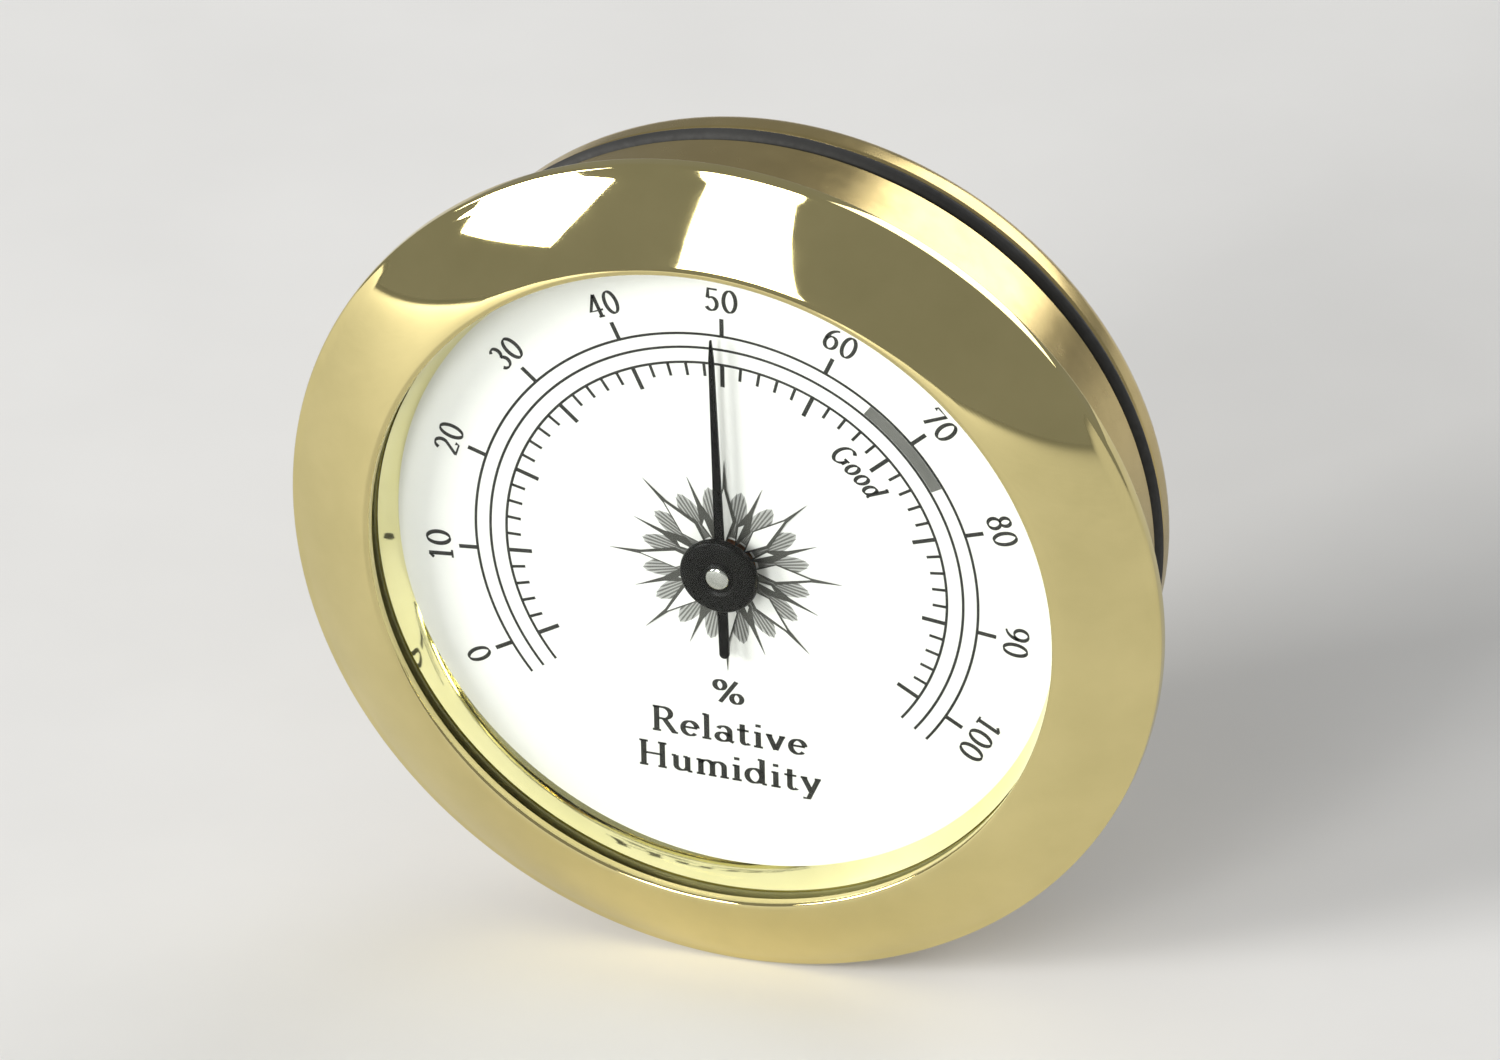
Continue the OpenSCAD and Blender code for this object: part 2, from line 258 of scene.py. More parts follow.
class Finish:
    """A procedural material, with short ways to add and join its nodes."""

    def __init__(self, name):
        self.material = bpy.data.materials.new(name)
        self.material.use_nodes = True
        self.tree = self.material.node_tree
        self.shader = self.tree.nodes["Principled BSDF"]
        self.place = self.add("ShaderNodeTexCoord").outputs["Object"]

    def add(self, kind, **settings):
        node = self.tree.nodes.new(kind)
        for key, value in settings.items():
            setattr(node, key, value)
        return node

    def join(self, source, target):
        self.tree.links.new(source, target)

    def set(self, **values):
        for key, value in values.items():
            self.shader.inputs[key.replace("_", " ")].default_value = value
        return self

    def math(self, operation, a, b=None):
        node = self.add("ShaderNodeMath", operation=operation)
        for socket, value in zip(node.inputs, (a, b)):
            if isinstance(value, (int, float)):
                socket.default_value = value
            elif value is not None:
                self.join(value, socket)
        return node.outputs[0]

    def noise(self, scale, detail=4, stretch=None):
        node = self.add("ShaderNodeTexNoise")
        node.inputs["Scale"].default_value = scale
        node.inputs["Detail"].default_value = detail
        place = self.place
        if stretch:
            mapping = self.add("ShaderNodeMapping")
            mapping.inputs["Scale"].default_value = stretch
            self.join(place, mapping.inputs["Vector"])
            place = mapping.outputs["Vector"]
        self.join(place, node.inputs["Vector"])
        return node.outputs["Fac"]

    def ramp(self, source, *stops):
        """Colours or greys at (position, value) stops along source."""
        node = self.add("ShaderNodeValToRGB")
        elements = node.color_ramp.elements
        while len(elements) < len(stops):
            elements.new(0.5)
        for element, (position, value) in zip(elements, stops):
            element.position = position
            element.color = (*value, 1) if isinstance(value, tuple) else (value, value, value, 1)
        self.join(source, node.inputs["Fac"])
        return node.outputs["Color"]

    def reach(self):
        """Distance from the dial's axis, in metres."""
        split = self.add("ShaderNodeSeparateXYZ")
        self.join(self.place, split.inputs[0])
        x = self.math("MULTIPLY", split.outputs["X"], split.outputs["X"])
        z = self.math("MULTIPLY", split.outputs["Z"], split.outputs["Z"])
        return self.math("SQRT", self.math("ADD", x, z))

    def turning(self, pitch_mm):
        """Fine rings round the dial's axis, as a lathe leaves them."""
        wobble = self.math("MULTIPLY", self.noise(400, 2), 0.00006)
        rings = self.math("ADD", self.reach(), wobble)
        return self.math("SINE", self.math("MULTIPLY", rings, 2 * math.pi / (pitch_mm * MM)))

    def bump(self, height, strength, depth_mm):
        node = self.add("ShaderNodeBump")
        node.inputs["Strength"].default_value = strength
        node.inputs["Distance"].default_value = depth_mm * MM
        self.join(height, node.inputs["Height"])
        self.join(node.outputs["Normal"], self.shader.inputs["Normal"])
        return self


def metal(name, dark, light, roughness, spread=0.06, rings=0.0, mottle=260):
    """Polished or satin metal: two close colours, uneven gloss and fine turning rings."""
    f = Finish(name)
    f.set(Metallic=1.0)
    cloud = f.noise(mottle, 5)
    f.join(f.ramp(cloud, (0.3, dark), (0.7, light)), f.shader.inputs["Base Color"])
    smears = f.noise(mottle * 3, 6)
    f.join(f.ramp(smears, (0.3, max(roughness - spread, 0.02)), (0.75, roughness + spread)),
           f.shader.inputs["Roughness"])
    if rings:
        f.bump(f.math("ADD", f.turning(0.12), f.math("MULTIPLY", cloud, 4)), rings, 0.0012)
    else:
        f.bump(smears, 0.25, 0.004)
    return f.material


def paint(name, dark, light, roughness, grain=900, bump_mm=0.003, shine=0.5):
    """Enamel, lacquer or ink: two close shades, fine grain and an uneven gloss."""
    f = Finish(name)
    f.set(Specular_IOR_Level=shine)
    cloud = f.noise(grain * 0.2, 4)
    fine = f.noise(grain * 4, 3)
    f.join(f.ramp(cloud, (0.3, dark), (0.7, light)), f.shader.inputs["Base Color"])
    f.join(f.ramp(fine, (0.25, max(roughness - 0.06, 0.03)), (0.75, roughness + 0.06)),
           f.shader.inputs["Roughness"])
    return f.bump(fine, 0.3, bump_mm).material


def rubber(name, shade):
    f = Finish(name)
    fine = f.noise(2600, 6)
    cloud = f.noise(150, 3)
    low, high = tuple(c * 0.7 for c in shade), tuple(c * 1.5 for c in shade)
    f.join(f.ramp(cloud, (0.3, low), (0.7, high)), f.shader.inputs["Base Color"])
    f.join(f.ramp(fine, (0.2, 0.62), (0.8, 0.85)), f.shader.inputs["Roughness"])
    return f.bump(fine, 0.5, 0.02).material


def pane(name):
    """Clear flat glass that lets the lamps through and mirrors more at a slant.

    It mirrors less than bare glass does, so that the dial reads clearly.
    """
    f = Finish(name)
    f.tree.nodes.remove(f.shader)
    clear = f.add("ShaderNodeBsdfTransparent")
    clear.inputs["Color"].default_value = (0.975, 0.985, 0.98, 1)
    gloss = f.add("ShaderNodeBsdfGlossy")
    gloss.inputs["Roughness"].default_value = 0.01
    slant = f.add("ShaderNodeFresnel")
    slant.inputs["IOR"].default_value = 1.45
    haze = f.ramp(f.noise(90, 3), (0.3, 0.12), (0.7, 0.16))
    mix = f.add("ShaderNodeMixShader")
    f.join(f.math("MULTIPLY", slant.outputs[0], haze), mix.inputs["Fac"])
    f.join(clear.outputs[0], mix.inputs[1])
    f.join(gloss.outputs[0], mix.inputs[2])
    f.join(mix.outputs[0], f.tree.nodes["Material Output"].inputs["Surface"])
    return f.material


def brushed(name, dark, light, roughness, stretch):
    """Sheet metal brushed along one direction."""
    f = Finish(name)
    f.set(Metallic=1.0)
    lines = f.noise(900, 3, stretch)
    f.join(f.ramp(lines, (0.3, dark), (0.7, light)), f.shader.inputs["Base Color"])
    f.join(f.ramp(f.noise(300, 4), (0.3, roughness - 0.08), (0.7, roughness + 0.08)),
           f.shader.inputs["Roughness"])
    return f.bump(lines, 0.35, 0.006).material


gilt = metal("gilt_polished", (0.64, 0.55, 0.255), (0.70, 0.60, 0.285), 0.03, 0.012, rings=0.03)
mirror_gilt = metal("gilt_mirror", (0.88, 0.82, 0.43), (0.93, 0.87, 0.49), 0.05, 0.02)
case_brass = metal("case_satin_brass", (0.50, 0.39, 0.17), (0.58, 0.46, 0.21), 0.24, 0.05, rings=0.15)
turned_brass = metal("turned_brass", (0.52, 0.37, 0.14), (0.64, 0.48, 0.2), 0.22, 0.07, rings=0.35)
bronze = metal("bearing_bronze", (0.32, 0.15, 0.06), (0.46, 0.24, 0.1), 0.32, 0.08)
pin_steel = metal("polished_steel", (0.50, 0.50, 0.47), (0.62, 0.62, 0.58), 0.14, 0.05)
screw_metal = metal("screw_steel", (0.55, 0.55, 0.53), (0.66, 0.66, 0.64), 0.2, 0.06)
sheet_steel = brushed("brushed_sheet", (0.34, 0.35, 0.36), (0.52, 0.53, 0.54), 0.34, (1, 1, 14))
enamel = paint("dial_enamel", (0.86, 0.855, 0.825), (0.90, 0.895, 0.865), 0.42, grain=500)
ink = paint("black_ink", (0.010, 0.010, 0.008), (0.022, 0.022, 0.018), 0.5)
grey_ink = paint("grey_ink", (0.045, 0.045, 0.038), (0.075, 0.075, 0.065), 0.5)
hatch_ink = paint("hatch_ink", (0.12, 0.12, 0.11), (0.17, 0.17, 0.155), 0.5)
fan_ink = paint("fan_ink", (0.40, 0.40, 0.385), (0.47, 0.47, 0.45), 0.5)
lacquer = paint("black_lacquer", (0.004, 0.004, 0.004), (0.008, 0.008, 0.007), 0.3,
                bump_mm=0.0002, shine=0.12)
# The seal is rubber, but its dark olive tone is painted shade: it copies the shaded gilt of the inner
# lip beside it.
seal_rubber_lip_shade = rubber("seal_rubber_lip_shade", (0.17, 0.155, 0.05))
grip_rubber = rubber("grip_rubber", (0.028, 0.028, 0.027))
glass = pane("clear_glass")


def strip_finish():
    """Brown sensing film with fine fibres along the strip."""
    f = Finish("sensing_film")
    fibres = f.noise(1500, 5, (1, 0.2, 1))
    f.join(f.ramp(fibres, (0.3, (0.12, 0.055, 0.02)), (0.7, (0.26, 0.14, 0.06))),
           f.shader.inputs["Base Color"])
    f.join(f.ramp(fibres, (0.3, 0.4), (0.7, 0.6)), f.shader.inputs["Roughness"])
    return f.bump(fibres, 0.4, 0.01).material


film = strip_finish()


def place(obj, material, body, slot, *replaced):
    """Gives a piece its finish and its CAD body, and hides what it stands for; slot is not used."""
    obj.data.materials.clear()
    obj.data.materials.append(material)
    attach(obj, body)
    if replaced:
        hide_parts(*replaced)
    return obj


# ---------------------------------------------------------------- bezel, glass and ring

def bezel():
    """Stamped ring with a soft skirt edge, a bulged face and a rolled inner lip."""
    face_out, face_in = bezel_r - 0.15, window_r + 0.35
    sheet_h = bezel_t * 1.25
    face = []
    for i in range(1, 20):
        u = i / 20
        face.append((face_out + (face_in - face_out) * u,
                     edge_h + (bezel_h - edge_h) * u + 4 * bezel_bulge * u * (1 - u)))
    under = [(r, z - sheet_h) for r, z in face[::-1] if lens_r + 0.2 < r < flange_r - bezel_t]
    corners = ([(bezel_r, 0, 0.12), (bezel_r, edge_h - 0.02, 0.24)]
               + [(r, z, 0) for r, z in face]
               + [(face_in - 0.05, bezel_h, 0.18), (window_r, bezel_h - 0.06, 0.22),
                  (window_r, lens_front, 0.05), (lens_r + 0.1, lens_front, 0),
                  (lens_r + 0.12, lens_front - 0.08, 0)]
               + [(r, z, 0) for r, z in under]
               + [(flange_r, flange_t, 0), (flange_r, 0, 0.05)])
    obj = lathe("bezel_ring", rounded(corners), 256, 40)
    return place(obj, gilt, "instrument", "bezel_gilt", "bezel")


def lens():
    corners = [(0, lens_back, 0), (lens_r, lens_back, 0.1), (lens_r, lens_front, 0.1),
               (0, lens_front, 0)]
    obj = lathe("lens_disc", rounded(corners, 3), 192, 40)
    return place(obj, glass, "instrument", "lens_glass", "lens")


def gasket():
    inner = window_r + 0.1
    corners = [(inner, gasket_back, 0.08), (lens_r, gasket_back, 0.08),
               (lens_r, lens_back, 0.05), (inner, lens_back, 0.05)]
    obj = lathe("lens_seal", rounded(corners, 3), 192, 50)
    return place(obj, seal_rubber_lip_shade, "instrument", "gasket_rubber", "lens_gasket")


def reflector():
    """Bright inner ring, slightly hollowed so that it mirrors the edge of the dial."""
    foot_r = window_r - 0.65
    hollow = 0.06
    wall = []
    for i in range(13):
        u = i / 12
        wall.append((foot_r + (window_r - foot_r) * u + hollow * 4 * u * (1 - u),
                     dial_face + (gasket_back - dial_face) * u, 0))
    corners = wall + [(reflector_r, gasket_back, 0.1), (reflector_r, dial_face, 0)]
    obj = lathe("bright_ring", rounded(corners), 256, 40)
    return place(obj, mirror_gilt, "instrument", "reflector_gilt", "reflector_ring")


# ---------------------------------------------------------------- dial and its print

PRINT_T = 0.012        # thickness of one layer of ink
SWEEP = 120            # the scale runs this far each way from its middle, for 0 to 100
PRINT_TURN = 1.4       # the printed dial sits this far clockwise of the case
ARC_END = 128          # where the scale's arcs stop
ARCS = (14.45, 13.6, 12.67)
LINE_W = 0.15
NUMERAL_R = 16.7
NUMERAL_H = 1.45


def at_percent(percent):
    """Angle of a humidity on the scale, clockwise from the top of the case."""
    return PRINT_TURN + (percent - 50) * SWEEP / 50


def dial():
    hole_r = 1.7
    corners = [(hole_r, dial_back, 0.05), (dial_r, dial_back, 0.05),
               (dial_r, dial_face, 0.1), (hole_r, dial_face, 0.12)]
    obj = lathe("dial_disc", rounded(corners, 4), 256, 40)
    return place(obj, enamel, "instrument", "dial_print", "dial_plate")


def layer(index):
    """Bottom and top of an ink layer, counted up from the dial's face."""
    return dial_face + PRINT_T * (index - 0.4), dial_face + PRINT_T * (index + 1)


def add_arc_line(bm, r, width, start, end, index=0):
    """Part of a ring of ink, its angles clockwise from the top."""
    steps = max(int(abs(end - start) / 1.5), 4)
    outer = arc(0, 0, r + width / 2, 90 - start, 90 - end, steps)
    inner = arc(0, 0, r - width / 2, 90 - start, 90 - end, steps)
    add_band(bm, outer, inner, *layer(index))


def add_tick(bm, angle, r_in, r_out, width):
    half = width / 2
    add_prism(bm, turned([(-half, r_in), (half, r_in), (half, r_out), (-half, r_out)], angle),
              *layer(0))


def scale():
    """Three arcs, ticks outwards at each ten and inwards at every second unit."""
    bm = bmesh.new()
    for r in ARCS:
        add_arc_line(bm, r, LINE_W, PRINT_TURN - ARC_END, PRINT_TURN + ARC_END)
    for percent in range(0, 101, 10):
        add_tick(bm, at_percent(percent), ARCS[0] + 0.05, ARCS[0] + 1.1, 0.24)
    for percent in range(0, 101, 2):
        long = percent % 10 == 0
        add_tick(bm, at_percent(percent), ARCS[2] - (1.38 if long else 0.82), ARCS[2] - 0.05,
                 0.24 if long else 0.17)
    obj = finish_mesh(bm, "scale_print")
    return place(obj, ink, "instrument", "dial_print")


def zone():
    """Grey band between the two outer arcs that marks the good zone."""
    bm = bmesh.new()
    gap = LINE_W / 2 + 0.02
    middle = (ARCS[0] + ARCS[1]) / 2
    add_arc_line(bm, middle, ARCS[0] - ARCS[1] - 2 * gap, at_percent(65), at_percent(75))
    obj = finish_mesh(bm, "zone_print")
    return place(obj, hatch_ink, "instrument", "dial_print")


# Letters are pen strokes in a box one capital high. A stroke is a run of points, or an arc
# given as (centre x, centre y, x radius, y radius, start, end).
GLYPHS = {
    "0": (0.62, [(0.31, 0.5, 0.23, 0.46, 0, 360)]),
    "1": (0.48, [[(0.08, 0.80), (0.25, 0.95)], [(0.25, 0.97), (0.25, 0.03)],
                 [(0.10, 0.03), (0.40, 0.03)]]),
    "2": (0.60, [(0.29, 0.70, 0.20, 0.26, 165, -38), [(0.448, 0.54), (0.08, 0.05)],
                 [(0.06, 0.05), (0.52, 0.05), (0.54, 0.2)]]),
    "3": (0.56, [(0.26, 0.73, 0.17, 0.23, 150, -80), (0.26, 0.28, 0.21, 0.24, 80, -150)]),
    "4": (0.62, [[(0.42, 0.97), (0.06, 0.30), (0.58, 0.30)], [(0.42, 0.97), (0.42, 0.03)],
                 [(0.30, 0.03), (0.54, 0.03)]]),
    "5": (0.56, [[(0.48, 0.94), (0.14, 0.94), (0.12, 0.54)], (0.26, 0.31, 0.21, 0.28, 125, -150)]),
    "6": (0.60, [(0.52, 0.40, 0.44, 0.55, 100, 180), (0.30, 0.31, 0.22, 0.28, 0, 360)]),
    "7": (0.54, [[(0.05, 0.80), (0.06, 0.94), (0.50, 0.94), (0.20, 0.03)]]),
    "8": (0.58, [(0.29, 0.73, 0.17, 0.21, 0, 360), (0.29, 0.27, 0.21, 0.25, 0, 360)]),
    "9": (0.60, [(0.30, 0.67, 0.22, 0.28, 0, 360), (0.08, 0.60, 0.44, 0.55, -80, 0)]),
    "%": (0.86, [(0.20, 0.74, 0.14, 0.20, 0, 360), (0.66, 0.24, 0.14, 0.20, 0, 360),
                 [(0.66, 0.97), (0.20, 0.01)]]),
    "G": (0.80, [(0.40, 0.5, 0.32, 0.46, 48, 330), [(0.68, 0.40), (0.68, 0.12)],
                 [(0.54, 0.41), (0.80, 0.41)]]),
    "H": (0.78, [[(0.14, 0.97), (0.14, 0.03)], [(0.62, 0.97), (0.62, 0.03)],
                 [(0.14, 0.50), (0.62, 0.50)], [(0.03, 0.95), (0.25, 0.95)],
                 [(0.03, 0.03), (0.25, 0.03)], [(0.51, 0.95), (0.73, 0.95)],
                 [(0.51, 0.03), (0.73, 0.03)]]),
    "R": (0.70, [[(0.14, 0.97), (0.14, 0.03)], [(0.04, 0.94), (0.32, 0.94)],
                 (0.32, 0.72, 0.19, 0.22, 90, -90), [(0.32, 0.50), (0.14, 0.50)],
                 [(0.34, 0.50), (0.60, 0.03)], [(0.54, 0.03), (0.70, 0.03)],
                 [(0.03, 0.03), (0.25, 0.03)]]),
    "a": (0.52, [(0.23, 0.19, 0.16, 0.16, 0, 360), (0.25, 0.42, 0.16, 0.18, 155, 0),
                 [(0.41, 0.42), (0.41, 0.08), (0.51, 0.03)]]),
    "d": (0.60, [(0.25, 0.30, 0.19, 0.27, 0, 360), [(0.45, 0.97), (0.45, 0.03)],
                 [(0.34, 0.95), (0.45, 0.95)], [(0.45, 0.03), (0.57, 0.03)]]),
    "e": (0.50, [(0.26, 0.30, 0.19, 0.27, 8, 318), [(0.08, 0.33), (0.45, 0.33)]]),
    "i": (0.28, [[(0.14, 0.60), (0.14, 0.03)], [(0.03, 0.57), (0.14, 0.57)],
                 [(0.02, 0.03), (0.26, 0.03)], [(0.14, 0.90), (0.14, 0.79)]]),
    "l": (0.28, [[(0.14, 0.97), (0.14, 0.03)], [(0.03, 0.95), (0.14, 0.95)],
                 [(0.02, 0.03), (0.26, 0.03)]]),
    "m": (0.86, [[(0.13, 0.60), (0.13, 0.03)], (0.28, 0.42, 0.15, 0.16, 180, 0),
                 [(0.43, 0.42), (0.43, 0.03)], (0.58, 0.42, 0.15, 0.16, 180, 0),
                 [(0.73, 0.42), (0.73, 0.03)], [(0.02, 0.57), (0.13, 0.57)],
                 [(0.02, 0.03), (0.24, 0.03)], [(0.33, 0.03), (0.53, 0.03)],
                 [(0.63, 0.03), (0.85, 0.03)]]),
    "o": (0.52, [(0.26, 0.30, 0.19, 0.27, 0, 360)]),
    "t": (0.38, [[(0.16, 0.80), (0.16, 0.16)], (0.26, 0.16, 0.10, 0.12, 180, 325),
                 [(0.02, 0.57), (0.33, 0.57)]]),
    "u": (0.58, [[(0.13, 0.58), (0.13, 0.20)], (0.28, 0.20, 0.15, 0.16, 180, 360),
                 [(0.43, 0.58), (0.43, 0.03)], [(0.02, 0.57), (0.13, 0.57)],
                 [(0.32, 0.57), (0.43, 0.57)], [(0.43, 0.03), (0.55, 0.03)]]),
    "v": (0.52, [[(0.08, 0.57), (0.26, 0.03)], [(0.26, 0.03), (0.43, 0.57)],
                 [(0.00, 0.57), (0.17, 0.57)], [(0.35, 0.57), (0.51, 0.57)]]),
    "y": (0.53, [[(0.08, 0.57), (0.27, 0.05)], [(0.45, 0.57), (0.20, -0.22), (0.06, -0.22)],
                 [(0.00, 0.57), (0.17, 0.57)], [(0.36, 0.57), (0.52, 0.57)]]),
}
THICK, THIN = 0.15, 0.065      # widest and narrowest pen stroke, as shares of the height
NIB = math.radians(12)         # the pen's slant


def stroke_points(stroke):
    """The points of a stroke, and whether it closes on itself."""
    if isinstance(stroke, list):
        return [Vector(p) for p in stroke], False
    cx, cy, rx, ry, start, end = stroke
    steps = max(int(abs(end - start) / 12), 4)
    closed = abs(end - start) >= 360
    angles = [math.radians(start + (end - start) * i / steps) for i in range(steps + (not closed))]
    return [Vector((cx + rx * math.cos(a), cy + ry * math.sin(a))) for a in angles], closed


def add_stroke(bm, stroke, put, weight, index):
    """A pen stroke whose width follows its direction, put on the dial by a function."""
    points, closed = stroke_points(stroke)
    left, right = [], []
    last = len(points) - 1
    for i, point in enumerate(points):
        before = points[i - 1] if i or closed else point
        after = points[(i + 1) % len(points)] if i < last or closed else point
        way = (after - before).normalized()
        width = THIN + (THICK - THIN) * abs(math.sin(math.atan2(way.y, way.x) - NIB))
        side = Vector((-way.y, way.x)) * width * weight / 2
        left.append(put(point + side))
        right.append(put(point - side))
    add_band(bm, left, right, *layer(index), closed=closed)


def add_text(bm, text, height, width, put, weight=1.0, spacing=0.10, slant=0.0):
    """A centred line of letters, width mm long. put takes its points to the dial."""
    natural = sum(GLYPHS[c][0] for c in text) + spacing * (len(text) - 1)
    x = -natural / 2
    for c in text:
        for stroke in GLYPHS[c][1]:
            def on_dial(p, x=x):
                return put(((x + p.x) * width / natural + slant * p.y * height,
                            (p.y - 0.5) * height))
            add_stroke(bm, stroke, on_dial, weight, 0)
        x += GLYPHS[c][0] + spacing


def on_rim(angle, r):
    """Puts letters at an angle and radius with their tops outwards."""
    return lambda p: turned([(p[0], p[1] + r)], angle)[0]


def along_rim(angle, r):
    """The same for a longer word, bent round the dial's centre."""
    return lambda p: turned([(0, p[1] + r)], angle + math.degrees(p[0] / r))[0]


def numerals():
    bm = bmesh.new()
    for percent in range(0, 101, 10):
        digits = str(percent)
        add_text(bm, digits, NUMERAL_H, 1.02 * len(digits) - 0.14,
                 on_rim(at_percent(percent), NUMERAL_R), spacing=0.08)
    obj = finish_mesh(bm, "numerals_print")
    return place(obj, ink, "instrument", "dial_print")


def captions():
    """Per-cent sign, two generic lines below it and a small word at the grey zone."""
    bm = bmesh.new()
    for text, height, width, y in (("%", 1.5, 1.8, -8.05), ("Relative", 1.65, 9.0, -10.5),
                                   ("Humidity", 1.65, 10.6, -12.85)):
        add_text(bm, text, height, width,
                 lambda p, y=y: turned([(p[0], p[1] + y)], PRINT_TURN)[0], 0.95, 0.06)
    add_text(bm, "Good", 1.4, 3.5, along_rim(47, 10.75), 1.1, 0.08, slant=0.22)
    obj = finish_mesh(bm, "captions_print")
    return place(obj, ink, "instrument", "dial_print")


def star():
    """Sixteen-point star: pale hatched fans, short grey rays and long rays half in white."""
    ray_count = 8
    inner_r = 1.9
    hatch_turn = 2.7
    step = 360 / ray_count
    long_r, short_r, hatch_r = 6.7, 5.7, 4.9
    fan, hatch, dark, light = bmesh.new(), bmesh.new(), bmesh.new(), bmesh.new()
    for i in range(2 * ray_count):
        middle = PRINT_TURN + (i + 0.5) * step / 2
        side = step / 4 - 0.6
        leaf = [(0, inner_r)] + [turned([(0, hatch_r - 1.5 * abs(k) ** 1.5)], k * side)[0]
                                 for k in (-1, -0.6, -0.3, 0, 0.3, 0.6, 1)]
        add_prism(fan, turned(leaf, middle), *layer(0))
        for k in (-3, -2, -1, 0, 1, 2, 3):
            top = hatch_r - 0.13 * k * k
            line = [(-0.045, inner_r), (0.045, inner_r), (0.05, top - 0.3), (0, top),
                    (-0.05, top - 0.3)]
            add_prism(hatch, turned(line, middle + k * hatch_turn), *layer(1))
    for i in range(2 * ray_count):
        long = i % 2 == 0
        tip = long_r if long else short_r
        half_w = 0.66 if long else 0.42
        wide_at = 2.9 if long else 2.7
        angle = PRINT_TURN + i * step / 2
        low, high = layer(3 if long else 2)
        neck = tip - 1.8
        rim = [(0, 1.4), (half_w, wide_at), (0.12, neck), (0, tip), (-0.12, neck),
               (-half_w, wide_at)]
        add_prism(dark, turned(rim, angle), low, high)
        if long:
            white = [(0, 1.6), (-half_w + 0.08, wide_at), (-0.03, neck), (half_w - 0.22, wide_at)]
        else:
            white = [(-0.05, 1.8), (-half_w + 0.14, wide_at), (-0.05, neck - 0.9)]
        add_prism(light, turned(white, angle), low + PRINT_T, high + PRINT_T)
    out = []
    for bm, name, finish in ((fan, "star_fan_print", fan_ink),
                             (hatch, "star_hatch_print", hatch_ink),
                             (dark, "star_rays_print", grey_ink),
                             (light, "star_light_print", enamel)):
        out.append(place(finish_mesh(bm, name), finish, "instrument", "dial_print"))
    return out


# ---------------------------------------------------------------- needle

def needle():
    """Stamped needle: a long blade that tapers to a point, a hub disc and a round tail."""
    root_w, tip_w = 0.56, 0.3
    blade = [(tip_w / 2, needle_tip - 1.2), (0.05, needle_tip), (-0.05, needle_tip),
             (-tip_w / 2, needle_tip - 1.2)]
    hub_r = 1.6
    meet = math.degrees(math.asin(root_w / 2 / hub_r))
    left = arc(0, 0, hub_r, 90 + meet, 270 - meet, 24)
    right = arc(0, 0, hub_r, 270 + meet, 450 - meet, 24)
    tail = arc(0, -needle_tail + root_w / 2, root_w / 2, 180, 360, 10)
    hole = circle(0, 0, 0.46, 32)
    bm = bmesh.new()
    add_plate(bm, [blade + left + tail + right, hole], needle_back, needle_top, 0.06)
    obj = finish_mesh(bm, "needle_blade", 50, even=True)
    return place(obj, lacquer, "needle", "pointer_black", "pointer")


def cap():
    """Domed hub cap with a sunk ring round the pin."""
    outline = [(0.46, cap_back), (cap_r - 0.06, cap_back), (cap_r, cap_back + 0.06),
               (cap_r, cap_back + 0.16)]
    outline += arc(cap_r - 0.3, cap_back + 0.16, 0.3, 8, 62, 5)
    outline += [(1.55, cap_top - 0.06), (1.2, cap_top - 0.02), (1.08, cap_top - 0.03),
                (1.0, cap_top - 0.12), (0.86, cap_top - 0.13), (0.78, cap_top - 0.05),
                (0.7, cap_top), (0.46, cap_top)]
    obj = lathe("hub_cap", outline, 96, 45)
    return place(obj, lacquer, "needle", "pointer_black", "pointer_cap")


def pin_head():
    """Riveted front end of the arbor that shows in the middle of the hub."""
    head_r, top = 0.66, cap_top + 0.17
    outline = [(0, cap_top - 0.04), (0.62, cap_top - 0.04), (head_r, cap_top + 0.01)]
    outline += [(head_r * math.cos(a), cap_top + 0.02 + (top - cap_top - 0.02) * math.sin(a))
                for a in (math.radians(10 * k) for k in range(0, 9))]
    outline.append((0, top))
    obj = lathe("arbor_head", outline, 64, 50)
    return place(obj, pin_steel, "needle", "arbor_steel")


# ---------------------------------------------------------------- case and back

def vent(angle):
    """Outline of one round-ended air slot."""
    half = vent_w / 2
    outline = arc(0, vent_out - half, half, 0, 180, 12) + arc(0, vent_in + half, half, 180, 360, 12)
    return turned(outline, angle)


def case():
    """Drawn cup with a rolled groove, and a pressed back plate with air slots."""
    bore_r = barrel_r - case_t
    groove_r = grip_r - (grip_high - grip_low)
    groove_half, groove_step = 0.6, 0.75
    groove_top = (grip_high + grip_low) / 2 + groove_half
    groove_foot = (grip_high + grip_low) / 2 - groove_half
    back_inside = case_back + case_t
    back_r = 19.6
    screw_hole_r = 0.9
    corners = [(bore_r, collar_top, 0.1), (barrel_r, collar_top, 0.15), (barrel_r, flange_t, 0.1),
               (flange_r, flange_t, 0.05), (flange_r, 0, 0.05), (barrel_r, 0, 0.25),
               (barrel_r, groove_top, 0.25), (groove_r, groove_top, 0.3),
               (groove_r, groove_foot, 0.3), (barrel_r, groove_foot, 0.25),
               (barrel_r, case_back, corner_r), (back_r, case_back, 0.12),
               (back_r, back_inside, 0), (bore_r, back_inside, 0.4),
               (bore_r, groove_foot - 0.4, 0.3), (bore_r - groove_step, groove_foot, 0.3),
               (bore_r - groove_step, groove_top, 0.3), (bore_r, groove_top + 0.4, 0.3)]
    bm = bmesh.new()
    add_lathe(bm, rounded(corners, 6), 192)
    loops = [circle(0, 0, back_r - 0.01, 192), circle(0, 0, head_r + 0.2, 64)]
    loops += [vent(360 / vent_count * (i + 0.5)) for i in range(vent_count)]
    loops += [circle(*turned([(0, screw_at)], a)[0], screw_hole_r, 32) for a in (0, 120, 240)]
    add_plate(bm, loops, case_back, back_inside, 0.12)
    obj = finish_mesh(bm, "case_shell", 40, even=True)
    return place(obj, case_brass, "instrument", "case_brass", "case")


